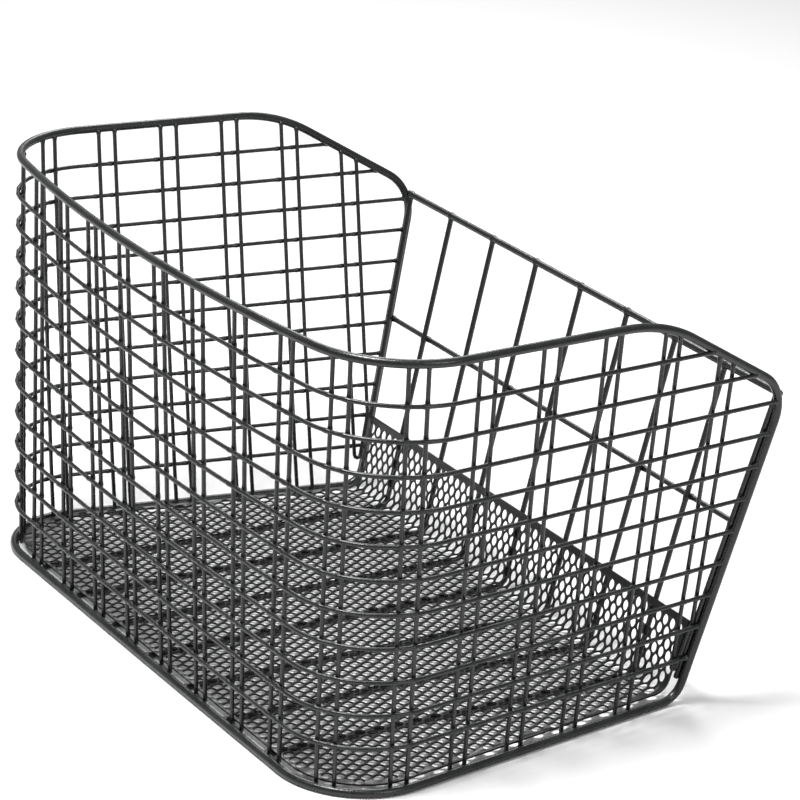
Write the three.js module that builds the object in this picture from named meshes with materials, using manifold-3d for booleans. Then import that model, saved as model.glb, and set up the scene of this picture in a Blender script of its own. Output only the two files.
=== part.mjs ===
// Wire handlebar basket: a bent frame rod, wire hoops, paired uprights, a wire back and a turned-up floor pan.
// Millimetres, +Z up, +Y from the front of the basket to its back. Heights are above the bottom rod's centre line.
import * as THREE from "three";
import Module from "manifold-3d";

// frame rod and the plan of the walls: corner points of the bottom and of the top, before rounding
const ROD_RADIUS = 3; // frame rod
const TOP_HEIGHT = 299.5; // rim rod above bottom rod
const TOP_FRONT_WIDTH = 532; // between the top's two front corner points
const TOP_BACK_WIDTH = 488;
const TOP_FRONT = -112.5; // y of the top's front corner points
const TOP_BACK = 244; // y where the back's slope would reach the rim's height
const TOP_BOW = 42; // how far the front's middle tangents lead the corner points
const TOP_CORNER = 71; // corner radius
const BOTTOM_FRONT_WIDTH = 517;
const BOTTOM_BACK_WIDTH = 425;
const BOTTOM_FRONT = -122;
const BOTTOM_BACK = 182;
const BOTTOM_BOW = 1;
const BOTTOM_CORNER = 58;

// the rim's slope down to the back, and the bends of the frame rod
const SLOPE_START = 111; // y where the level rim ends
const SLOPE_DROP = 67.5; // rim to where the slope meets the back leg
const SLOPE_END_HEIGHT = TOP_HEIGHT - SLOPE_DROP;
const SLOPE_BEND = 120;
const SHOULDER_BEND = 34;
const HEEL_BEND = 16; // back leg to bottom rod

// wires of the walls
const WIRE_RADIUS = 1.5;
const GAP = 0.35; // clearance between neighbouring pieces
const HOOP_COUNT = 11;
const FIRST_HOOP_DROP = 28; // rim to first hoop
const LAST_HOOP_HEIGHT = 31.5;
const HOOP_PITCH = (TOP_HEIGHT - FIRST_HOOP_DROP - LAST_HOOP_HEIGHT) / (HOOP_COUNT - 1);
const PAIR_COUNT = 22;
const PAIR_PITCH = 50; // measured along the wall
const PAIR_SPACING = 12.8; // between the two wires of a pair
const RETURN_BEND = 2.5;
const RISER_BEND = 40; // eases the uprights' slight curve round the front corners
const RETURN_HEIGHT = -1.1; // centre line of a pair's return bend

// back and floor
const BACK_WIRE_RADIUS = 2;
const BACK_WIRE_COUNT = 7;
const BACK_WIRE_PITCH = 55.5; // on the floor; the wires fan out a little as they rise
const BACK_WIRE_TOP_PITCH = 58.2;
const BACK_INSET = 3; // back wires in front of the back legs' plane
const BACK_BEND = 9;
const TOP_BAR_RADIUS = 2.5;
const TOP_BAR_DROP = 4; // below where the slope meets the back leg
const TOP_BAR_HEIGHT = SLOPE_END_HEIGHT - TOP_BAR_DROP;
const CROSS_BAR_HEIGHT = 131;
const PAN_THICKNESS = 1.2;
const PAN_BEND = 4;
const PAN_TURN_UP = 58; // height of the pan's back edge

// faces round each section and steps along each bend
const ROD_SIDES = 12;
const WIRE_SIDES = 6;
const HOOP_SIDES = 8;
const CORNER_STEPS = 9;
const BEND_STEPS = 4;
const RETURN_STEPS = 3;
const RISER_STEPS = 4;

const mix = (a, b, t) => a + (b - a) * t;
const vec = (x, y, z) => new THREE.Vector3(x, y, z);
const UP = vec(0, 0, 1);
const wasm = await Module();
wasm.setup();

// ---------- bent paths ----------

// A curve that steps only at its stations, so straight runs cost one step.
class StationCurve extends THREE.Curve {
  constructor(stations) {
    super();
    this.stations = stations;
    this.steps = stations.length - 1;
  }
  getPointAt(t) {
    return this.stations[Math.round(t * this.steps)].point.clone();
  }
  getTangentAt(t) {
    return this.stations[Math.round(t * this.steps)].tangent.clone();
  }
}

// Rounds one corner of a polyline into stations; the tangent length is radius * tan(half the turn).
function roundedCorner(before, corner, after, radius, steps) {
  const into = corner.clone().sub(before).normalize();
  const out = after.clone().sub(corner).normalize();
  const turn = into.angleTo(out);
  if (turn < 1e-4) return [];
  const setback = radius * Math.tan(turn / 2);
  const start = corner.clone().addScaledVector(into, -setback);
  const inward = out.clone().addScaledVector(into, -out.dot(into)).normalize();
  const centre = start.clone().addScaledVector(inward, radius);
  return Array.from({ length: steps + 1 }, (_, k) => {
    const angle = (turn * k) / steps;
    return {
      point: centre.clone().addScaledVector(inward, -radius * Math.cos(angle))
        .addScaledVector(into, radius * Math.sin(angle)),
      tangent: into.clone().multiplyScalar(Math.cos(angle)).addScaledVector(inward, Math.sin(angle)),
    };
  });
}

// Stations of an open path through corners {point, radius, steps}; its first and last points are plain ends.
function openPath(corners) {
  const first = corners[0].point, last = corners.at(-1).point;
  const stations = [{ point: first, tangent: corners[1].point.clone().sub(first).normalize() }];
  for (let k = 1; k < corners.length - 1; k++) {
    const { point, radius, steps } = corners[k];
    stations.push(...roundedCorner(corners[k - 1].point, point, corners[k + 1].point, radius, steps));
  }
  stations.push({ point: last, tangent: last.clone().sub(corners.at(-2).point).normalize() });
  return stations;
}

function closedPath(corners) {
  const count = corners.length;
  const stations = corners.flatMap(({ point, radius, steps }, k) =>
    roundedCorner(corners[(k + count - 1) % count].point, point, corners[(k + 1) % count].point, radius, steps));
  return stations.concat([stations[0]]);
}

// A round wire with flat ends along the stations.
function wireAlong(stations, radius, sides) {
  const circle = new THREE.Shape();
  circle.absarc(0, 0, radius, 0, 2 * Math.PI);
  const curve = new StationCurve(stations);
  // a circle's arc is drawn with two sides for each curve segment
  return new THREE.ExtrudeGeometry(circle, { steps: curve.steps, extrudePath: curve, curveSegments: sides / 2 });
}

function closedRod(stations, radius, sides) {
  const curve = new StationCurve(stations);
  return new THREE.TubeGeometry(curve, curve.steps, radius, sides, true);
}

// ---------- the walls ----------

// Corner points of the walls' plan at a height: the front's middle, a front corner and a back end, for x > 0.
function planAt(height) {
  const t = height / TOP_HEIGHT;
  const front = mix(BOTTOM_FRONT, TOP_FRONT, t);
  return {
    middle: vec(0, front - mix(BOTTOM_BOW, TOP_BOW, t), height),
    corner: vec(mix(BOTTOM_FRONT_WIDTH, TOP_FRONT_WIDTH, t) / 2, front, height),
    back: vec(mix(BOTTOM_BACK_WIDTH, TOP_BACK_WIDTH, t) / 2, mix(BOTTOM_BACK, TOP_BACK, t), height),
    radius: mix(BOTTOM_CORNER, TOP_CORNER, t),
  };
}

const mirrored = (point) => vec(-point.x, point.y, point.z);
const sideX = (plan, y) =>
  mix(plan.corner.x, plan.back.x, (y - plan.corner.y) / (plan.back.y - plan.corner.y));

// The bow takes all the front that its two rounded corners leave.
function bowRadius(plan) {
  const run = plan.corner.clone().sub(plan.middle);
  const side = plan.back.clone().sub(plan.corner);
  const cornerSetback = plan.radius * Math.tan(run.angleTo(side) / 2);
  const halfTurn = Math.atan2(plan.corner.y - plan.middle.y, plan.corner.x);
  return (run.length() - cornerSetback) / Math.tan(halfTurn);
}

// Stations of the wall at a height, moved outwards by offset, from the front's middle to its back end at x > 0.
function halfWall(height, offset) {
  const plan = planAt(height);
  const bow = { point: plan.middle, radius: bowRadius(plan), steps: 2 * CORNER_STEPS };
  const corner = { point: plan.corner, radius: plan.radius, steps: CORNER_STEPS };
  const whole = openPath([{ point: mirrored(plan.corner) }, bow, corner, { point: plan.back }]);
  const half = whole.slice(1 + CORNER_STEPS); // drops the mirrored half of the bow
  return half.map(({ point, tangent }) => {
    const outward = tangent.clone().cross(UP).normalize();
    return { point: point.clone().addScaledVector(outward, offset), tangent };
  });
}

// The point at a distance along the wall from the front's middle.
function wallPoint(height, offset, distance) {
  const half = halfWall(height, offset);
  let left = Math.abs(distance);
  for (let k = 1; k < half.length; k++) {
    const run = half[k].point.distanceTo(half[k - 1].point);
    if (left <= run || k === half.length - 1) {
      const point = half[k - 1].point.clone().lerp(half[k].point, left / run);
      return distance < 0 ? mirrored(point) : point;
    }
    left -= run;
  }
}

// ---------- frame rod ----------

const legY = (height) => mix(BOTTOM_BACK, TOP_BACK, height / TOP_HEIGHT);
const legX = (height) => mix(BOTTOM_BACK_WIDTH, TOP_BACK_WIDTH, height / TOP_HEIGHT) / 2;

function frameStations() {
  const top = planAt(TOP_HEIGHT), bottom = planAt(0);
  const level = vec(sideX(top, SLOPE_START), SLOPE_START, TOP_HEIGHT);
  const shoulder = vec(legX(SLOPE_END_HEIGHT), legY(SLOPE_END_HEIGHT), SLOPE_END_HEIGHT);
  const half = [
    { point: top.corner, radius: TOP_CORNER, steps: CORNER_STEPS },
    { point: level, radius: SLOPE_BEND, steps: BEND_STEPS },
    { point: shoulder, radius: SHOULDER_BEND, steps: 2 * BEND_STEPS },
    { point: bottom.back, radius: HEEL_BEND, steps: 2 * BEND_STEPS },
    { point: bottom.corner, radius: BOTTOM_CORNER, steps: CORNER_STEPS },
  ];
  const other = half.map((corner) => ({ ...corner, point: mirrored(corner.point) })).reverse();
  const bow = (plan) => ({ point: plan.middle, radius: bowRadius(plan), steps: CORNER_STEPS });
  return closedPath([bow(top), ...half, bow(bottom), ...other]);
}

const FRAME = frameStations();

// Distance from a point to the frame rod's centre line.
function toFrame(point) {
  const line = new THREE.Line3(), nearest = vec(0, 0, 0);
  let best = Infinity;
  for (let k = 1; k < FRAME.length; k++) {
    line.set(FRAME[k - 1].point, FRAME[k].point).closestPointToPoint(point, true, nearest);
    best = Math.min(best, nearest.distanceTo(point));
  }
  return best;
}

// How far a wire's flat end is from touching the frame rod, less the gap; the end's rim is tested at points.
function endClearance(point, direction, radius) {
  const RIM_POINTS = 8;
  const side = direction.clone().cross(Math.abs(direction.z) > 0.9 ? vec(1, 0, 0) : UP).normalize();
  const distances = Array.from({ length: RIM_POINTS }, (_, k) => {
    const turned = side.clone().applyAxisAngle(direction, (2 * Math.PI * k) / RIM_POINTS);
    return toFrame(point.clone().addScaledVector(turned, radius));
  });
  return Math.min(...distances) - ROD_RADIUS - GAP;
}

// Walks from a free point towards another and returns the last place where the end stays clear.
function clearEnd(from, to, radius) {
  const direction = to.clone().sub(from);
  const length = direction.length();
  direction.normalize();
  const SMALLEST_STEP = 0.02;
  let reach = 0;
  while (reach < length) {
    const free = endClearance(from.clone().addScaledVector(direction, reach), direction, radius);
    if (free < SMALLEST_STEP) break;
    reach += free; // no nearer point of the rod can be met within this distance
  }
  return from.clone().addScaledVector(direction, Math.min(reach, length));
}

// ---------- hoops and uprights ----------

// The wall wires lean inside the bottom rod and meet the rim from below.
const uprightOffset = (height) =>
  mix(-(ROD_RADIUS + WIRE_RADIUS + GAP), -(WIRE_RADIUS + GAP / 2), height / TOP_HEIGHT);
const hoopOffset = (height) => uprightOffset(height) + 2 * WIRE_RADIUS + GAP;
const hoopHeight = (index) => TOP_HEIGHT - FIRST_HOOP_DROP - index * HOOP_PITCH;

function hoop(index) {
  const height = hoopHeight(index);
  const half = halfWall(height, hoopOffset(height));
  const straightStart = half.at(-2).point;
  const end = clearEnd(straightStart, half.at(-1).point, WIRE_RADIUS);
  const right = [...half.slice(0, -1), { point: end, tangent: half.at(-1).tangent }];
  const left = right.slice(1).reverse().map(({ point, tangent }) => ({
    point: mirrored(point),
    tangent: vec(tangent.x, -tangent.y, tangent.z),
  }));
  return wireAlong([...left, ...right], WIRE_RADIUS, HOOP_SIDES);
}

// Points of one wire of a pair, from its foot up to just under the rim.
function riser(distance, footHeight) {
  const points = Array.from({ length: RISER_STEPS + 1 }, (_, k) => {
    const height = mix(footHeight, TOP_HEIGHT, k / RISER_STEPS);
    return wallPoint(height, uprightOffset(height), distance);
  });
  for (let k = RISER_STEPS / 2; k < points.length; k++) {
    const end = clearEnd(points[k - 1], points[k], WIRE_RADIUS);
    if (end.distanceTo(points[k]) > GAP) return [...points.slice(0, k), end];
  }
  return points;
}

// The foot height of a wire that comes down on the slanted back leg rather than on the bottom rod.
function footHeight(distance) {
  const clear = ROD_RADIUS + 2 * WIRE_RADIUS + GAP;
  for (let height = RETURN_HEIGHT; height < TOP_HEIGHT; height += 1) {
    const point = wallPoint(Math.max(height, 0), uprightOffset(height), distance);
    if (point.y < legY(height) - clear) return height;
  }
  return RETURN_HEIGHT;
}

// Two wires side by side, joined by a tight bend under the edge of the pan.
function uprightPair(middle) {
  const [inner, outer] = [Math.abs(middle) - PAIR_SPACING / 2, Math.abs(middle) + PAIR_SPACING / 2];
  const rise = (distance) => riser(distance, footHeight(distance));
  const [down, up] = [rise(inner).reverse(), rise(outer)];
  const points = [...down, ...up];
  const corners = points.map((point, k) => {
    const isFoot = k === down.length - 1 || k === down.length;
    return isFoot ? { point, radius: RETURN_BEND, steps: RETURN_STEPS } : { point, radius: RISER_BEND, steps: 1 };
  });
  const side = middle < 0 ? corners.map((c) => ({ ...c, point: mirrored(c.point) })) : corners;
  return wireAlong(openPath(side), WIRE_RADIUS, WIRE_SIDES);
}

// ---------- back and floor ----------

const backWireY = (height) => legY(height) - BACK_INSET;
const FLOOR_WIRE_HEIGHT = BACK_WIRE_RADIUS + GAP - ROD_RADIUS;
const PAN_HEIGHT = FLOOR_WIRE_HEIGHT + BACK_WIRE_RADIUS + GAP; // underside of the pan
const backWireTop = TOP_BAR_HEIGHT - TOP_BAR_RADIUS - 2 * GAP;
const pairMiddles = Array.from({ length: PAIR_COUNT }, (_, k) => (k - (PAIR_COUNT - 1) / 2) * PAIR_PITCH);

// Where a floor wire stops at the front: at a pair's return bend if one is in its way, else at the bottom rod.
function floorWireFront(x) {
  const blocked = pairMiddles.some((middle) =>
    Math.abs(x - middle) < PAIR_SPACING / 2 + WIRE_RADIUS + BACK_WIRE_RADIUS + GAP);
  const inset = ROD_RADIUS + (blocked ? 2 * WIRE_RADIUS + 2 * GAP : GAP);
  return wallPoint(0, -inset, x).y + GAP;
}

// A wire down the back that turns forward under the pan; place counts pitches from the middle.
function backWire(place) {
  const x = place * BACK_WIRE_PITCH;
  const corners = [
    { point: vec(place * BACK_WIRE_TOP_PITCH, backWireY(backWireTop), backWireTop) },
    { point: vec(x, backWireY(FLOOR_WIRE_HEIGHT), FLOOR_WIRE_HEIGHT), radius: BACK_BEND, steps: BEND_STEPS },
    { point: vec(x, floorWireFront(x), FLOOR_WIRE_HEIGHT) },
  ];
  return wireAlong(openPath(corners), BACK_WIRE_RADIUS, HOOP_SIDES);
}

// An edge wire runs close beside the back leg, as far in front of the legs' plane as the other back wires.
const edgeWireX = (height) => legX(height) - ROD_RADIUS - BACK_WIRE_RADIUS - GAP;

// It ends above the heel, where the rod turns forward past it.
function edgeWire(side) {
  const at = (height) => vec(side * edgeWireX(height), backWireY(height), height);
  return wireAlong(openPath([{ point: at(backWireTop) }, { point: at(HEEL_BEND) }]), BACK_WIRE_RADIUS, HOOP_SIDES);
}

function barAcross(halfLength, y, height, radius) {
  const ends = [{ point: vec(-halfLength, y, height) }, { point: vec(halfLength, y, height) }];
  return wireAlong(openPath(ends), radius, ROD_SIDES);
}

function topBar() {
  const y = backWireY(TOP_BAR_HEIGHT);
  const end = clearEnd(vec(0, y, TOP_BAR_HEIGHT), vec(legX(TOP_BAR_HEIGHT), y, TOP_BAR_HEIGHT), TOP_BAR_RADIUS);
  return barAcross(end.x, y, TOP_BAR_HEIGHT, TOP_BAR_RADIUS);
}

function crossBar() {
  const y = backWireY(CROSS_BAR_HEIGHT) + 2 * BACK_WIRE_RADIUS + 2 * GAP;
  const end = clearEnd(vec(0, y, CROSS_BAR_HEIGHT), vec(legX(CROSS_BAR_HEIGHT), y, CROSS_BAR_HEIGHT),
    BACK_WIRE_RADIUS);
  return barAcross(end.x, y, CROSS_BAR_HEIGHT, BACK_WIRE_RADIUS);
}

const manifoldOf = (geometry) => {
  const plain = geometry.index ? geometry.toNonIndexed() : geometry;
  plain.deleteAttribute("normal");
  plain.deleteAttribute("uv");
  const vertProperties = plain.attributes.position.array;
  const triVerts = Uint32Array.from({ length: vertProperties.length / 3 }, (_, k) => k);
  const mesh = new wasm.Mesh({ numProp: 3, vertProperties, triVerts });
  mesh.merge();
  return new wasm.Manifold(mesh);
};

const geometryOf = (solid) => {
  const { vertProperties, triVerts } = solid.getMesh();
  const geometry = new THREE.BufferGeometry();
  geometry.setAttribute("position", new THREE.BufferAttribute(vertProperties, 3));
  geometry.setIndex(new THREE.BufferAttribute(triVerts, 1));
  const faceted = geometry.toNonIndexed();
  faceted.computeVertexNormals();
  return faceted;
};

// The pan's plan, inside the uprights' feet; its turned-up back widens with the edge wires that it meets.
function panPlan() {
  const inset = ROD_RADIUS + 2 * WIRE_RADIUS + 3 * GAP;
  const half = halfWall(0, -inset).map(({ point }) => point);
  const besideEdgeWire = (height) => vec(edgeWireX(height) - BACK_WIRE_RADIUS - 2 * GAP, backWireY(height), 0);
  const right = [...half.slice(0, -1), besideEdgeWire(0), besideEdgeWire(PAN_TURN_UP)];
  const left = right.slice(1).map(mirrored).reverse();
  return new THREE.Shape([...left, ...right].map(({ x, y }) => new THREE.Vector2(x, y)));
}

// Side view of the sheet, front edge to folded back edge, as a closed outline in the Y-Z plane.
function panProfile() {
  const frontY = planAt(0).middle.y;
  const behind = BACK_WIRE_RADIUS + GAP;
  const foot = vec(0, backWireY(PAN_HEIGHT) - behind, PAN_HEIGHT);
  const tip = vec(0, backWireY(PAN_TURN_UP) - behind, PAN_TURN_UP);
  const skin = (offset) => {
    const lift = vec(0, 0, offset);
    const back = vec(0, -offset, 0);
    const corner = foot.clone().add(lift).add(back);
    const radius = BACK_BEND + PAN_BEND - offset;
    return openPath([
      { point: vec(0, frontY, PAN_HEIGHT + offset) },
      { point: corner, radius, steps: BEND_STEPS },
      { point: tip.clone().add(back) },
    ]).map(({ point }) => new THREE.Vector2(point.y, point.z));
  };
  return new THREE.Shape([...skin(0), ...skin(PAN_THICKNESS).reverse()]);
}

function floorPan() {
  const plan = new THREE.ExtrudeGeometry(panPlan(), { depth: TOP_HEIGHT, bevelEnabled: false });
  plan.translate(0, 0, PAN_HEIGHT - PAN_THICKNESS);
  const sheet = new THREE.ExtrudeGeometry(panProfile(), { depth: BOTTOM_FRONT_WIDTH, bevelEnabled: false });
  // the profile's own x and y become Y and Z, and its depth runs along X
  sheet.applyMatrix4(new THREE.Matrix4().makeBasis(vec(0, 1, 0), vec(0, 0, 1), vec(1, 0, 0)));
  sheet.translate(-BOTTOM_FRONT_WIDTH / 2, 0, 0);
  return geometryOf(manifoldOf(sheet).intersect(manifoldOf(plan)));
}

// ---------- assembly ----------

const group = new THREE.Group();
group.name = "handlebar_basket";

const coating = (name, color) =>
  new THREE.MeshStandardMaterial({ name, color, metalness: 0.3, roughness: 0.42, side: THREE.FrontSide });
const MATERIALS = {
  rod: coating("coated_rod", 0x1d1e20),
  wire: coating("coated_wire", 0x222326),
  sheet: coating("coated_sheet", 0x191a1c),
};

function addPart(name, geometry, material) {
  const mesh = new THREE.Mesh(geometry, MATERIALS[material].clone());
  mesh.name = name;
  group.add(mesh);
}

const twoDigits = (number) => String(number).padStart(2, "0");

addPart("frame_rod", closedRod(FRAME, ROD_RADIUS, ROD_SIDES), "rod");
for (let k = 0; k < HOOP_COUNT; k++) addPart(`hoop_${twoDigits(k + 1)}`, hoop(k), "wire");
pairMiddles.forEach((middle, k) => addPart(`upright_pair_${twoDigits(k + 1)}`, uprightPair(middle), "wire"));
addPart("back_top_bar", topBar(), "rod");
addPart("back_cross_bar", crossBar(), "wire");
addPart("back_edge_wire_left", edgeWire(-1), "wire");
addPart("back_edge_wire_right", edgeWire(1), "wire");
for (let k = 0; k < BACK_WIRE_COUNT; k++)
  addPart(`back_floor_wire_${k + 1}`, backWire(k - (BACK_WIRE_COUNT - 1) / 2), "wire");
addPart("floor_pan", floorPan(), "sheet");

// the origin is under the middle of the whole basket, level with its lowest face
const box = new THREE.Box3().setFromObject(group, true);
group.position.set(0, -(box.min.y + box.max.y) / 2, -box.min.z);

export default group;
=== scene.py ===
import math

import bmesh
import bpy
from mathutils import Matrix, Vector
from mathutils.kdtree import KDTree


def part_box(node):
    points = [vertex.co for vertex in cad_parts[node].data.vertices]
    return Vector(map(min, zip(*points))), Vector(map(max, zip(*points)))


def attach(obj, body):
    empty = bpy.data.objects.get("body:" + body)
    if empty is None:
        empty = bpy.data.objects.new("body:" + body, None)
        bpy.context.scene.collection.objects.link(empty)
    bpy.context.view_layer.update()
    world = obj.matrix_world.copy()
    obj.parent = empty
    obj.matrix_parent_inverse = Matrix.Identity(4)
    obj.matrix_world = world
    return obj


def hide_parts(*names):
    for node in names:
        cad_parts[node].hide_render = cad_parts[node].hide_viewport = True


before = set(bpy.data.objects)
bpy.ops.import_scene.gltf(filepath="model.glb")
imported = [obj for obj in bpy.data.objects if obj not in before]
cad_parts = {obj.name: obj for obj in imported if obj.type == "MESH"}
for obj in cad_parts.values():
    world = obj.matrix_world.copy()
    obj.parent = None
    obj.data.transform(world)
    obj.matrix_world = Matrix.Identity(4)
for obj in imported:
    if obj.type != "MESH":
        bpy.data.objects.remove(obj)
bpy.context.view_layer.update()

MM = 0.001

# frame rod and the plan of the walls: corner points of the bottom and of the top, before rounding
ROD_RADIUS = 3.0
TOP_HEIGHT = 299.5
TOP_FRONT_WIDTH = 532.0
TOP_BACK_WIDTH = 488.0
TOP_FRONT = -112.5
TOP_BACK = 244.0
TOP_BOW = 42.0
TOP_CORNER = 71.0
BOTTOM_FRONT_WIDTH = 517.0
BOTTOM_BACK_WIDTH = 425.0
BOTTOM_FRONT = -122.0
BOTTOM_BACK = 182.0
BOTTOM_BOW = 1.0
BOTTOM_CORNER = 58.0
SLOPE_START = 111.0
SLOPE_DROP = 67.5
SLOPE_END_HEIGHT = TOP_HEIGHT - SLOPE_DROP
SLOPE_BEND = 120.0
SHOULDER_BEND = 34.0
HEEL_BEND = 16.0

# wires of the walls
WIRE_RADIUS = 1.5
GAP = 0.35
HOOP_COUNT = 11
FIRST_HOOP_DROP = 28.0
LAST_HOOP_HEIGHT = 31.5
HOOP_PITCH = (TOP_HEIGHT - FIRST_HOOP_DROP - LAST_HOOP_HEIGHT) / (HOOP_COUNT - 1)
PAIR_COUNT = 22
PAIR_PITCH = 50.0
PAIR_SPACING = 12.8
RETURN_BEND = 2.5
RETURN_HEIGHT = -1.1

# back and floor
BACK_WIRE_RADIUS = 2.0
BACK_WIRE_COUNT = 7
BACK_WIRE_PITCH = 55.5
BACK_WIRE_TOP_PITCH = 58.2
BACK_INSET = 3.0
EDGE_WIRE_ASIDE = math.sqrt((ROD_RADIUS + BACK_WIRE_RADIUS) ** 2 - BACK_INSET ** 2)  # fused to the back leg
BACK_BEND = 9.0
TOP_BAR_RADIUS = 2.5
TOP_BAR_DROP = 4.0
TOP_BAR_HEIGHT = SLOPE_END_HEIGHT - TOP_BAR_DROP
CROSS_BAR_HEIGHT = 131.0
FLOOR_WIRE_HEIGHT = BACK_WIRE_RADIUS + GAP - ROD_RADIUS
FLOOR_WIRE_STOP = 1.0  # a floor wire's end behind the bottom rod
PAN_HEIGHT = FLOOR_WIRE_HEIGHT + BACK_WIRE_RADIUS + GAP
PAN_THICKNESS = 1.2
PAN_BEND = 4.0
PAN_TURN_UP = 58.0

# the pan is raised expanded metal: blunt long diamonds in staggered rows, with twisted strands between them
HOLE_PITCH = 8.15
HOLE_ROW_PITCH = 7.5
HOLE_HALF_WIDTH = 2.45
HOLE_HALF_LENGTH = 4.2
HOLE_SIDES = 12
PAN_HEM = 5.0  # solid strip along the top of the turned-up back
PAN_MARGIN = 1.2  # least sheet left between an opening and an edge
STRAND_TWIST = 0.8  # how far a strand's right edge is raised and its left edge lowered

# how a coated weld looks: both wires swell a little where they are fused
WELD_SWELL = 0.24
WELD_REACH = 2.0
WELD_STATIONS = [-4.2, -3.0, -2.2, -1.5, -0.8, 0.0, 0.8, 1.5, 2.2, 3.0, 4.2]
END_FLARE = 0.35
END_REACH = 1.6
END_STATIONS = [0.6, 1.2, 1.9, 2.8, 4.0]
LEAST_STEP = 0.25
ARC_STEP = 4.0  # longest step along a bend

ROD_SIDES = 28
WIRE_SIDES = 14


# ---------- camera ----------

def add_camera():
    """Off the right front corner, above the rim, with the horizon tipped a little."""
    azimuth, elevation, tip = math.radians(56.863), math.radians(20.710), math.radians(3.835)
    place = Matrix.Translation((1.93235, -1.22862, 1.03702))
    aim = Matrix.Rotation(azimuth, 4, "Z") @ Matrix.Rotation(math.pi / 2 - elevation, 4, "X")
    lens = bpy.data.cameras.new("camera")
    lens.sensor_width = 36.0
    lens.lens = 156.584
    camera = bpy.data.objects.new("camera", lens)
    camera.matrix_world = place @ aim @ Matrix.Rotation(tip, 4, "Z")
    bpy.context.scene.collection.objects.link(camera)
    bpy.context.scene.camera = camera


# ---------- bent paths ----------

def mix(a, b, t):
    return a + (b - a) * t


def mirrored(point):
    return Vector((-point.x, point.y, point.z))


def bent(before, corner, after, radius):
    """Points round one bend of that radius between two straight runs."""
    into, out = (corner - before).normalized(), (after - corner).normalized()
    turn = into.angle(out)
    if turn < 1e-4:
        return [corner.copy()]
    start = corner - into * radius * math.tan(turn / 2)
    inward = (out - into * out.dot(into)).normalized()
    steps = 2 * max(2, math.ceil(turn * radius / ARC_STEP / 2))
    angles = [turn * k / steps for k in range(steps + 1)]
    centre = start + inward * radius
    return [centre - inward * radius * math.cos(a) + into * radius * math.sin(a) for a in angles]


def open_path(first, bends, last):
    """Points of a path from first to last round the bends, which are (corner, radius)."""
    corners = [first] + [corner for corner, _ in bends] + [last]
    points = [first]
    for k, (corner, radius) in enumerate(bends):
        points += bent(corners[k], corner, corners[k + 2], radius)
    return points + [last]


def closed_path(bends):
    corners = [corner for corner, _ in bends]
    count = len(corners)
    points = []
    for k, (corner, radius) in enumerate(bends):
        points += bent(corners[k - 1], corner, corners[(k + 1) % count], radius)
    return points


def lengths_along(points):
    lengths = [0.0]
    for a, b in zip(points, points[1:]):
        lengths.append(lengths[-1] + (b - a).length)
    return lengths


def point_at(points, lengths, length):
    for k in range(1, len(points)):
        if length <= lengths[k]:
            return points[k - 1].lerp(points[k], (length - lengths[k - 1]) / (lengths[k] - lengths[k - 1]))
    return points[-1].copy()


def nearest_length(points, lengths, place):
    """How far along the path its nearest point to a place is."""
    best, found = math.inf, 0.0
    for k in range(1, len(points)):
        run = points[k] - points[k - 1]
        share = min(1.0, max(0.0, (place - points[k - 1]).dot(run) / run.length_squared))
        away = (points[k - 1] + run * share - place).length
        if away < best:
            best, found = away, lengths[k - 1] + share * run.length
    return found


# ---------- plan of the walls ----------

def plan_at(height):
    """The wall's corner points at a height: the front's middle, a front corner and a back end, for x > 0."""
    t = height / TOP_HEIGHT
    front = mix(BOTTOM_FRONT, TOP_FRONT, t)
    middle = Vector((0, front - mix(BOTTOM_BOW, TOP_BOW, t), height))
    corner = Vector((mix(BOTTOM_FRONT_WIDTH, TOP_FRONT_WIDTH, t) / 2, front, height))
    back = Vector((leg_x(height), leg_y(height), height))
    return middle, corner, back, mix(BOTTOM_CORNER, TOP_CORNER, t)


def leg_x(height):
    return mix(BOTTOM_BACK_WIDTH, TOP_BACK_WIDTH, height / TOP_HEIGHT) / 2


def leg_y(height):
    return mix(BOTTOM_BACK, TOP_BACK, height / TOP_HEIGHT)


def bow_radius(middle, corner, back, radius):
    """The bow takes all the front that its two rounded corners leave."""
    run = corner - middle
    corner_setback = radius * math.tan(run.angle(back - corner) / 2)
    half_turn = math.atan2(corner.y - middle.y, corner.x)
    return (run.length - corner_setback) / math.tan(half_turn)


def half_wall(height, offset):
    """The wall at a height, moved outwards by offset, from the front's middle to its back end at x > 0."""
    middle, corner, back, radius = plan_at(height)
    bow = bow_radius(middle, corner, back, radius)
    whole = open_path(mirrored(corner), [(middle, bow), (corner, radius)], back)
    half = [point for point in whole[1:] if point.x > -1e-3]
    moved = []
    for k, point in enumerate(half):
        run = half[min(k + 1, len(half) - 1)] - half[max(k - 1, 0)]
        if k == 0:
            run = Vector((1, 0, 0))
        outward = run.cross(Vector((0, 0, 1))).normalized()
        moved.append(point + outward * offset)
    return moved


def wall_point(height, offset, distance):
    """The place at a distance along the wall from the front's middle; negative ones are on the left."""
    half = half_wall(height, offset)
    point = point_at(half, lengths_along(half), abs(distance))
    return mirrored(point) if distance < 0 else point


def upright_offset(height):
    return mix(-(ROD_RADIUS + WIRE_RADIUS + GAP), -(WIRE_RADIUS + GAP / 2), height / TOP_HEIGHT)


def hoop_offset(height):
    return upright_offset(height) + 2 * WIRE_RADIUS + GAP


def hoop_height(index):
    return TOP_HEIGHT - FIRST_HOOP_DROP - index * HOOP_PITCH


def back_wire_y(height):
    return leg_y(height) - BACK_INSET


# ---------- routes of the rod and the wires ----------

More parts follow.
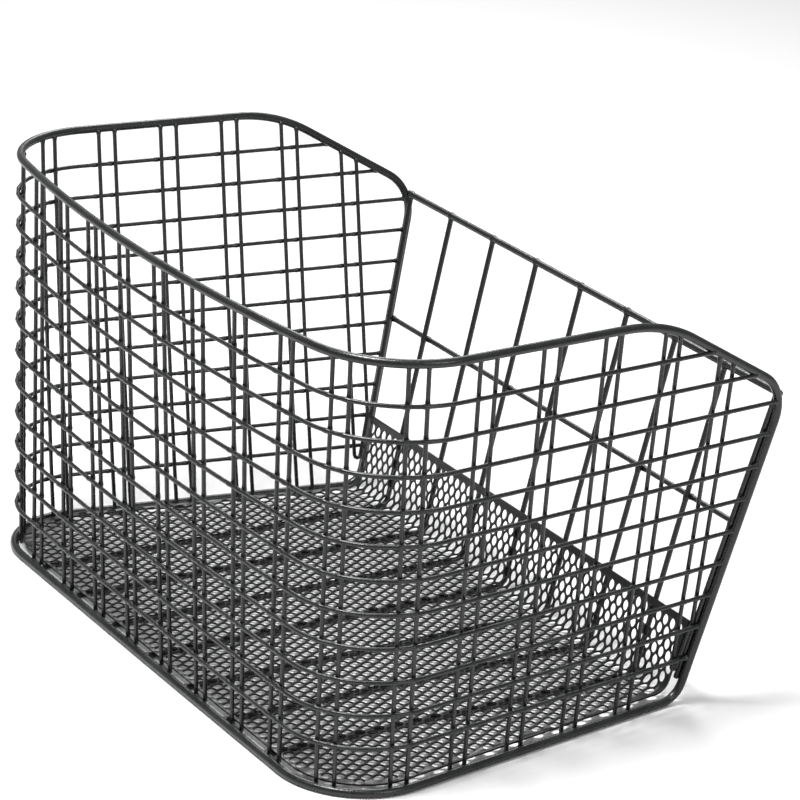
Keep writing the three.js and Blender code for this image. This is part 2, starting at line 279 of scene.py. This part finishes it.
def frame_route():
    """Rim, slope, shoulder, back leg, heel and bottom, and the same again on the left: one closed rod."""
    top_middle, top_corner, top_back, _ = top = plan_at(TOP_HEIGHT)
    low_middle, low_corner, low_back, _ = low = plan_at(0)
    side = (SLOPE_START - top_corner.y) / (top_back.y - top_corner.y)
    level = top_corner.lerp(top_back, side)
    shoulder = Vector((leg_x(SLOPE_END_HEIGHT), leg_y(SLOPE_END_HEIGHT), SLOPE_END_HEIGHT))
    half = [
        (top_corner, TOP_CORNER),
        (level, SLOPE_BEND),
        (shoulder, SHOULDER_BEND),
        (low_back, HEEL_BEND),
        (low_corner, BOTTOM_CORNER),
    ]
    other = [(mirrored(corner), radius) for corner, radius in reversed(half)]
    return closed_path([(low_middle, bow_radius(*low))] + other + [(top_middle, bow_radius(*top))] + half)


def tree_of(points, step=1.0):
    """A search tree of closely spaced points on a closed path."""
    closed = points + [points[0]]
    lengths = lengths_along(closed)
    count = int(lengths[-1] / step)
    tree = KDTree(count)
    k = 1
    for index in range(count):
        length = index * step
        while lengths[k] < length:
            k += 1
        share = (length - lengths[k - 1]) / (lengths[k] - lengths[k - 1])
        tree.insert(closed[k - 1].lerp(closed[k], share), index)
    tree.balance()
    return tree


def up_to_rod(points, rod_tree):
    """The path as far as the frame rod, where its end is fused into the rod's side."""
    STEP = 0.5
    kept = [points[0]]
    for a, b in zip(points, points[1:]):
        steps = max(1, math.ceil((b - a).length / STEP))
        for k in range(1, steps + 1):
            place = a.lerp(b, k / steps)
            if rod_tree.find(place)[2] < ROD_RADIUS - STEP / 2:
                return kept + [place]
        kept.append(b)
    return kept


def hoop_route(index, rod_tree):
    height = hoop_height(index)
    half = half_wall(height, hoop_offset(height))
    half[-1] = half[-1] + (half[-1] - half[-2]).normalized() * ROD_RADIUS
    right = up_to_rod(half, rod_tree)
    return [mirrored(point) for point in reversed(right[1:])] + right


def foot_height(distance):
    """Where a wire starts: under the pan's edge, or where it meets the slanted back leg."""
    clear = ROD_RADIUS + 2 * WIRE_RADIUS + GAP
    height = RETURN_HEIGHT
    while wall_point(max(height, 0), upright_offset(height), distance).y >= leg_y(height) - clear:
        height += 1
    return height


def riser_points(distance, rod_tree):
    RISER_STEPS = 10
    foot = foot_height(distance)
    heights = [mix(foot, TOP_HEIGHT, k / RISER_STEPS) for k in range(RISER_STEPS + 1)]
    points = [wall_point(height, upright_offset(height), distance) for height in heights]
    return points[:1] + up_to_rod(points[1:], rod_tree)


def pair_route(middle, rod_tree):
    """Two wires side by side, joined by a tight bend under the edge of the pan."""
    inner = riser_points(abs(middle) - PAIR_SPACING / 2, rod_tree)
    outer = riser_points(abs(middle) + PAIR_SPACING / 2, rod_tree)
    feet = [inner[0], outer[0]]
    down, up = list(reversed(inner[1:])), outer[1:]
    turn = bent(down[-1], feet[0], feet[1], RETURN_BEND) + bent(feet[0], feet[1], up[0], RETURN_BEND)
    route = down + turn + up
    return [mirrored(point) for point in route] if middle < 0 else route


def back_wire_route(place):
    x, top_x = place * BACK_WIRE_PITCH, place * BACK_WIRE_TOP_PITCH
    front_y = wall_point(0, -ROD_RADIUS, abs(x)).y + FLOOR_WIRE_STOP
    bend = Vector((x, back_wire_y(FLOOR_WIRE_HEIGHT), FLOOR_WIRE_HEIGHT))
    top = Vector((top_x, back_wire_y(TOP_BAR_HEIGHT), TOP_BAR_HEIGHT - TOP_BAR_RADIUS / 2))
    return open_path(top, [(bend, BACK_BEND)], Vector((x, front_y, FLOOR_WIRE_HEIGHT)))


def edge_wire_x(height):
    return leg_x(height) - EDGE_WIRE_ASIDE


def edge_wire_route(side):
    return [Vector((side * edge_wire_x(height), back_wire_y(height), height))
            for height in (TOP_BAR_HEIGHT - TOP_BAR_RADIUS / 2, HEEL_BEND)]


def bar_route(height, y, rod_tree):
    """A level bar whose rounded ends stop inside the back legs."""
    beside = rod_tree.find(Vector((leg_x(height), y, height)))[0]
    end = Vector((beside.x - ROD_RADIUS / 2, y, height))
    return [mirrored(end), end]


# ---------- swept wires ----------

def in_frame(bm):
    """From the routes' millimetres to the frame's metres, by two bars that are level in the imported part."""
    low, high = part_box("back_cross_bar")
    lift = (low.z + high.z) / 2 - CROSS_BAR_HEIGHT * MM
    low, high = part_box("back_top_bar")
    shift = (low.y + high.y) / 2 - back_wire_y(TOP_BAR_HEIGHT) * MM
    bmesh.ops.transform(bm, matrix=Matrix.Translation((0, shift, lift)) @ Matrix.Scale(MM, 4), verts=bm.verts)


def sections(points, radius, welds, ends, closed):
    """Matrices that carry a unit circle along the path, larger at the welds and at the fused ends."""
    lengths = lengths_along(points)
    total = lengths[-1]
    weld_lengths = [nearest_length(points, lengths, weld) for weld in welds]
    fused = [place for place, is_fused in ((0.0, ends[0]), (total, ends[1])) if is_fused]
    wanted = set(lengths)
    for weld in weld_lengths:
        wanted.update(weld + step for step in WELD_STATIONS if 0 < weld + step < total)
    for end in fused:
        wanted.update(abs(end - step) for step in END_STATIONS)
    kept = []
    for length in sorted(wanted):
        if not kept or length - kept[-1] > LEAST_STEP or length == total:
            kept.append(length)
    places = [point_at(points, lengths, length) for length in kept]
    turns, normal, before = [], None, None
    for k, (place, length) in enumerate(zip(places, kept)):
        ahead = places[(k + 1) % len(places)] if closed or k + 1 < len(places) else place
        behind = places[k - 1] if closed or k else place
        tangent = (ahead - behind).normalized()
        if normal is None:
            normal = tangent.orthogonal().normalized()
        else:
            normal = before.rotation_difference(tangent) @ normal
            normal = (normal - tangent * normal.dot(tangent)).normalized()
        before = tangent
        swell = max([math.exp(-((length - weld) / WELD_REACH) ** 2) for weld in weld_lengths], default=0)
        flare = max([math.exp(-((length - end) / END_REACH) ** 2) for end in fused], default=0)
        size = radius * (1 + WELD_SWELL * swell + END_FLARE * flare)
        turn = Matrix((normal, tangent.cross(normal), tangent)).transposed().to_4x4()
        turns.append(Matrix.Translation(place) @ turn @ Matrix.Diagonal((size, size, size, 1)))
    return turns


def domed(frames):
    """Adds the smaller rings of a rounded end at each end."""
    DOME = ((0.35, 0.92), (0.62, 0.72), (0.78, 0.38))  # along the wire and across it, in radii

    def rings(end, sign):
        return [end @ Matrix.Translation((0, 0, sign * along)) @ Matrix.Diagonal((size, size, 1, 1))
                for along, size in DOME]

    return rings(frames[0], -1)[::-1] + frames + rings(frames[-1], 1)


def sweep(bm, rings, sides, closed=False):
    """Rolls a flat grid into a tube through the rings and closes its ends, or joins it end to end."""
    if closed:
        start, end = rings[0].to_3x3().col[0], rings[-1].to_3x3().col[0]
        untwist = -end.angle(start) * math.copysign(1, start.cross(end).dot(rings[0].to_3x3().col[2]))
        last = len(rings) - 1
        rings = [ring @ Matrix.Rotation(untwist * k / last, 4, "Z") for k, ring in enumerate(rings)]
        rings.append(rings[0])
    steps = len(rings) - 1
    bmesh.ops.create_grid(bm, x_segments=steps, y_segments=sides, size=1.0)
    for vert in bm.verts:
        angle = math.pi * (vert.co.y + 1)
        vert.co = rings[round((vert.co.x + 1) / 2 * steps)] @ Vector((math.cos(angle), math.sin(angle), 0))
    bmesh.ops.remove_doubles(bm, verts=bm.verts, dist=1e-4)
    bmesh.ops.holes_fill(bm, edges=bm.edges, sides=0)


def piece(name, bm, material, node, crease=None):
    """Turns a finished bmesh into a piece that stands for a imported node."""
    in_frame(bm)
    bmesh.ops.recalc_face_normals(bm, faces=bm.faces)
    for face in bm.faces:
        face.smooth = True
    if crease:
        for edge in bm.edges:
            edge.smooth = edge.calc_face_angle(0) < crease
    mesh = bpy.data.meshes.new(name)
    bm.to_mesh(mesh)
    bm.free()
    made = bpy.data.objects.new(name, mesh)
    made.data.materials.append(material)
    bpy.context.scene.collection.objects.link(made)
    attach(made, "root")
    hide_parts(node)


def wire_piece(name, node, points, radius, material, welds=(), ends=(True, True), sides=WIRE_SIDES,
               closed=False):
    frames = sections(points, radius, welds, ends, closed)
    bm = bmesh.new()
    sweep(bm, frames if closed else domed(frames), sides, closed)
    piece(name, bm, material, node)


# ---------- expanded metal pan ----------

def pan_outline():
    """The flat blank's outline at x > 0: the floor, then the back's side edge beside the edge wire."""
    inset = ROD_RADIUS + 2 * WIRE_RADIUS + 3 * GAP
    half = [point.xy for point in half_wall(0, -inset)]
    start, _, back, _ = fold_length()
    beside = BACK_WIRE_RADIUS + 2 * GAP
    low = Vector((edge_wire_x(0) - beside, start))
    high = Vector((edge_wire_x(PAN_TURN_UP) - beside, back))
    return half[:-1] + [low, high]


def fold_length():
    """Along the flat sheet: y of the fold's start, of its end and of the back's edge; then the turn."""
    behind = BACK_WIRE_RADIUS + GAP
    lean = math.atan2(TOP_BACK - BOTTOM_BACK, TOP_HEIGHT)
    turn = math.pi / 2 - lean
    radius = BACK_BEND + PAN_BEND - PAN_THICKNESS / 2
    foot = back_wire_y(PAN_HEIGHT) - behind - PAN_THICKNESS / 2
    setback = radius * math.tan(turn / 2)
    start = foot - setback
    end = start + radius * turn
    rise = PAN_TURN_UP - PAN_HEIGHT - PAN_THICKNESS / 2
    return start, end, end + rise / math.cos(lean) - setback, turn


def folded(place):
    """Where a point of the flat blank lies once the back is turned up; z stays square to the sheet."""
    start, end, _, turn = fold_length()
    radius = (end - start) / turn
    angle = min(turn, max(0.0, place.y - start) / radius)
    level, past = min(place.y, start), max(0.0, place.y - end)
    y = level + radius * math.sin(angle) + past * math.cos(turn) - place.z * math.sin(angle)
    rise = radius * (1 - math.cos(angle)) + past * math.sin(turn)
    z = PAN_HEIGHT + PAN_THICKNESS / 2 + rise + place.z * math.cos(angle)
    return Vector((place.x, y, z))


def hole_centres(outline):
    """Centres of the openings, row by row, that leave enough sheet round them."""
    back = fold_length()[2]
    top_row = back - PAN_HEM - HOLE_HALF_LENGTH
    rows = int((top_row - BOTTOM_FRONT) / HOLE_ROW_PITCH) + 2
    columns = int(BOTTOM_FRONT_WIDTH / 2 / HOLE_PITCH) + 2
    whole = whole_outline(outline)
    found = []
    for row in range(rows):
        stagger = HOLE_PITCH / 2 * (row % 2)
        centres = [Vector((column * HOLE_PITCH + stagger, top_row - row * HOLE_ROW_PITCH))
                   for column in range(-columns, columns + 1)]
        found += [centre for centre in centres if room_round(centre, whole)]
    return found


def whole_outline(right):
    """Joins the right half of an outline to its mirror image."""
    return [Vector((-point.x, point.y)) for point in reversed(right[1:])] + right


def room_round(centre, outline):
    """Whether an opening and its margin lie inside the outline, tested at its tips and its front corners."""
    across, along = HOLE_HALF_WIDTH + PAN_MARGIN, HOLE_HALF_LENGTH + PAN_MARGIN
    corner_along = 0.7 * along
    tips = [(across, 0), (-across, 0), (0, along), (0, -along),
            (across / 2, -corner_along), (-across / 2, -corner_along)]
    return all(inside(centre + Vector(tip), outline) for tip in tips)


def inside(point, outline):
    crossings = 0
    for a, b in zip(outline, outline[1:] + outline[:1]):
        if (a.y > point.y) != (b.y > point.y):
            if point.x < a.x + (point.y - a.y) / (b.y - a.y) * (b.x - a.x):
                crossings += 1
    return crossings % 2 == 1


def thicken(bm, thickness):
    """Gives an open sheet its thickness, half to each side of where it lies."""
    bmesh.ops.extrude_face_region(bm, geom=bm.faces[:], use_keep_orig=True)  # the first side is turned over
    bm.normal_update()
    for vert in bm.verts:
        vert.co += vert.normal * thickness / 2


def expanded_metal_pan(material):
    FOLD_STEPS = 8
    SNAP = 0.02  # points closer than this to a cut are moved onto it
    outline = pan_outline()
    bm = bmesh.new()
    rim = [bm.verts.new((point.x, point.y, 0)) for point in whole_outline(outline)]
    for a, b in zip(rim, rim[1:] + rim[:1]):
        bm.edges.new((a, b))
    opening = Matrix.Diagonal((HOLE_HALF_WIDTH, HOLE_HALF_LENGTH, 1, 1))
    opening[2][0] = -STRAND_TWIST  # an opening's left edge is the raised right edge of the strand before it
    for centre in hole_centres(outline):
        bmesh.ops.create_circle(bm, cap_ends=False, segments=HOLE_SIDES, radius=1.0,
                                matrix=Matrix.Translation(centre.to_3d()) @ opening)
    bmesh.ops.triangle_fill(bm, use_beauty=True, use_dissolve=False, edges=bm.edges, normal=(0, 0, 1))
    for face in bm.faces:
        if face.normal.z < 0:
            face.normal_flip()
    start, end, _, _ = fold_length()
    for k in range(FOLD_STEPS + 1):
        cut = (0, mix(start, end, k / FOLD_STEPS), 0)
        bmesh.ops.bisect_plane(bm, geom=bm.verts[:] + bm.edges[:] + bm.faces[:], dist=SNAP,
                               plane_co=cut, plane_no=(0, 1, 0))
    bmesh.ops.dissolve_degenerate(bm, dist=SNAP / 2, edges=bm.edges)
    bmesh.ops.delete(bm, geom=[edge for edge in bm.edges if not edge.link_faces], context="EDGES")
    for vert in bm.verts:
        vert.co = folded(vert.co)
    thicken(bm, PAN_THICKNESS)
    piece("expanded_metal_pan", bm, material, "floor_pan", crease=math.radians(40))


# ---------- materials ----------

def linear(hex_colour):
    """An sRGB hex colour as linear values with alpha."""
    parts = [int(hex_colour[k:k + 2], 16) / 255 for k in (1, 3, 5)]
    return tuple(c / 12.92 if c <= 0.04045 else ((c + 0.055) / 1.055) ** 2.4 for c in parts) + (1.0,)


def add_node(tree, kind, inputs=None, **settings):
    """Adds a node with its settings, values and links."""
    made = tree.nodes.new(kind)
    for name, value in settings.items():
        setattr(made, name, value)
    for name, value in (inputs or {}).items():
        if isinstance(value, bpy.types.NodeSocket):
            tree.links.new(value, made.inputs[name])
        else:
            made.inputs[name].default_value = value
    return made


def dipped_coat(name, body, dust_and_top_light, roughness, peel):
    """Black plastic coat on steel, dipped hot: it flows round and glossy, with a soft orange peel.

    Faces that point up are greyed in patches: partly dust, partly a painted highlight that lightens the tops
    as if lit from above. Handling leaves the gloss uneven."""
    material = bpy.data.materials.new(name)
    material.use_nodes = True
    tree = material.node_tree
    tree.nodes.clear()
    place = add_node(tree, "ShaderNodeTexCoord").outputs["Object"]
    cloud = add_node(tree, "ShaderNodeTexNoise", {"Vector": place, "Scale": 1 / (22 * MM), "Detail": 4.0})
    fine = add_node(tree, "ShaderNodeTexNoise", {"Vector": place, "Scale": 1 / (3 * MM), "Detail": 3.0})
    ripple = add_node(tree, "ShaderNodeTexNoise", {"Vector": place, "Scale": 1 / (peel * MM), "Detail": 2.0})
    normal = add_node(tree, "ShaderNodeNewGeometry").outputs["Normal"]
    facing = add_node(tree, "ShaderNodeSeparateXYZ", {"Vector": normal})
    # painted highlight: faces that point up are lightened as if lit from above
    painted_top_light = add_node(tree, "ShaderNodeMapRange", {
        "Value": facing.outputs["Z"], "From Min": 0.2, "From Max": 1.0, "To Min": 0.0, "To Max": 0.7})
    patchy = add_node(tree, "ShaderNodeMapRange", {
        "Value": cloud.outputs["Fac"], "From Min": 0.35, "From Max": 0.7})
    # patchy dust times the upward mask: real dust and painted top light together
    dust_and_painted_light = add_node(tree, "ShaderNodeMath", {0: painted_top_light.outputs["Result"], 1: patchy.outputs["Result"]},
                    operation="MULTIPLY")
    colour = add_node(tree, "ShaderNodeMix", {
        "Factor": dust_and_painted_light.outputs["Value"], "A": linear(body), "B": linear(dust_and_top_light)}, data_type="RGBA")
    gloss = add_node(tree, "ShaderNodeMapRange", {
        "Value": fine.outputs["Fac"], "From Min": 0.3, "From Max": 0.7,
        "To Min": roughness - 0.06, "To Max": roughness + 0.08})
    bump = add_node(tree, "ShaderNodeBump", {
        "Height": ripple.outputs["Fac"], "Strength": 0.7, "Distance": 0.18 * MM})
    shader = add_node(tree, "ShaderNodeBsdfPrincipled", {
        "Base Color": colour.outputs["Result"], "Roughness": gloss.outputs["Result"],
        "Normal": bump.outputs["Normal"], "IOR": 1.5})
    add_node(tree, "ShaderNodeOutputMaterial", {"Surface": shader.outputs["BSDF"]})
    return material


# ---------- stage ----------

def add_stage():
    bm = bmesh.new()
    bmesh.ops.create_grid(bm, x_segments=1, y_segments=1, size=8.0)
    mesh = bpy.data.meshes.new("pale_floor")
    bm.to_mesh(mesh)
    bm.free()
    paper = bpy.data.materials.new("matt_paper")
    paper.use_nodes = True
    shader = paper.node_tree.nodes["Principled BSDF"]
    shader.inputs["Base Color"].default_value = linear("#f4f4f3")
    shader.inputs["Roughness"].default_value = 0.9
    floor = bpy.data.objects.new("pale_floor", mesh)
    floor.data.materials.append(paper)
    bpy.context.scene.collection.objects.link(floor)


def add_light(name, place, size, power):
    lamp = bpy.data.lights.new(name, "AREA")
    lamp.shape = "DISK"
    lamp.size = size
    lamp.energy = power
    light = bpy.data.objects.new(name, lamp)
    aim = (Vector((0, 0, 0.15)) - Vector(place)).to_track_quat("-Z", "Y")
    light.matrix_world = Matrix.Translation(place) @ aim.to_matrix().to_4x4()
    bpy.context.scene.collection.objects.link(light)


def add_studio():
    """Soft light from high on the left and a weaker one from the right, in a pale room."""
    world = bpy.data.worlds.new("pale_room")
    bpy.context.scene.world = world
    world.use_nodes = True
    room = world.node_tree.nodes["Background"]
    room.inputs["Color"].default_value = linear("#f6f7f8")
    room.inputs["Strength"].default_value = 0.4
    add_light("overhead_softbox", (0.1, -0.6, 1.9), 0.6, 46)
    add_light("back_softbox", (-1.5, 0.9, 1.7), 1.0, 20)
    add_light("right_softbox", (2.0, 0.3, 1.2), 0.8, 8)
    bpy.context.scene.view_settings.view_transform = "Standard"


# ---------- the basket ----------

def build():
    # the second colour greys upward faces: patchy dust plus a painted highlight on the tops
    rod_coat = dipped_coat("dipped_pvc_on_rod", "#141516", "#343536", 0.26, 1.6)
    wire_coat = dipped_coat("dipped_pvc_on_wire", "#151617", "#383939", 0.27, 1.6)
    sheet_coat = dipped_coat("dipped_pvc_on_expanded_steel", "#121314", "#2d2d2c", 0.34, 1.4)

    route = frame_route()
    rod_tree = tree_of(route)
    wire_piece("frame_rod_coated", "frame_rod", route, ROD_RADIUS, rod_coat,
               ends=(False, False), sides=ROD_SIDES, closed=True)

    middles = [(k - (PAIR_COUNT - 1) / 2) * PAIR_PITCH for k in range(PAIR_COUNT)]
    distances = [math.copysign(abs(m) + side * PAIR_SPACING / 2, m) for m in middles for side in (-1, 1)]
    pair_routes = [pair_route(middle, rod_tree) for middle in middles]
    hoops = [hoop_route(index, rod_tree) for index in range(HOOP_COUNT)]
    crossings = {}
    for index in range(HOOP_COUNT):
        height = hoop_height(index)
        offset = (upright_offset(height) + hoop_offset(height)) / 2
        for number, distance in enumerate(distances):
            crossings[index, number] = wall_point(height, offset, distance)

    def touching(points, places, reach):
        lengths = lengths_along(points)
        return [place for place in places
                if (point_at(points, lengths, nearest_length(points, lengths, place)) - place).length < reach]

    near = 2 * WIRE_RADIUS
    for index, points in enumerate(hoops):
        welds = touching(points, [crossings[index, number] for number in range(len(distances))], near)
        wire_piece(f"hoop_wire_{index + 1:02d}", f"hoop_{index + 1:02d}", points, WIRE_RADIUS, wire_coat,
                   welds)
    for k, points in enumerate(pair_routes):
        places = [crossings[index, number] for index in range(HOOP_COUNT) for number in (2 * k, 2 * k + 1)]
        wire_piece(f"upright_wires_{k + 1:02d}", f"upright_pair_{k + 1:02d}", points, WIRE_RADIUS, wire_coat,
                   touching(points, places, near))

    cross_y = back_wire_y(CROSS_BAR_HEIGHT) + 2 * BACK_WIRE_RADIUS + 2 * GAP
    spots = [k - (BACK_WIRE_COUNT - 1) / 2 for k in range(BACK_WIRE_COUNT)]
    back_routes = [back_wire_route(place) for place in spots]
    edge_routes = [edge_wire_route(side) for side in (-1, 1)]
    fused = []
    for points in back_routes + edge_routes:
        lengths = lengths_along(points)
        there = Vector((points[0].x, cross_y - BACK_WIRE_RADIUS, CROSS_BAR_HEIGHT))
        fused.append(point_at(points, lengths, nearest_length(points, lengths, there)))
    top_bar = bar_route(TOP_BAR_HEIGHT, back_wire_y(TOP_BAR_HEIGHT), rod_tree)
    cross_bar = bar_route(CROSS_BAR_HEIGHT, cross_y, rod_tree)
    wire_tops = [points[0] for points in back_routes + edge_routes]
    wire_piece("top_bar_rod", "back_top_bar", top_bar, TOP_BAR_RADIUS, rod_coat, wire_tops,
               ends=(False, False), sides=ROD_SIDES)
    wire_piece("cross_bar_wire", "back_cross_bar", cross_bar, BACK_WIRE_RADIUS, wire_coat,
               fused, ends=(False, False))
    for k, points in enumerate(back_routes):
        wire_piece(f"floor_wire_{k + 1}", f"back_floor_wire_{k + 1}", points, BACK_WIRE_RADIUS, wire_coat,
                   [fused[k]])
    for k, side in enumerate(("left", "right")):
        wire_piece(f"edge_wire_{side}", f"back_edge_wire_{side}", edge_routes[k], BACK_WIRE_RADIUS, wire_coat,
                   [fused[BACK_WIRE_COUNT + k]], ends=(True, False))
    expanded_metal_pan(sheet_coat)


add_camera()
build()
add_stage()
add_studio()
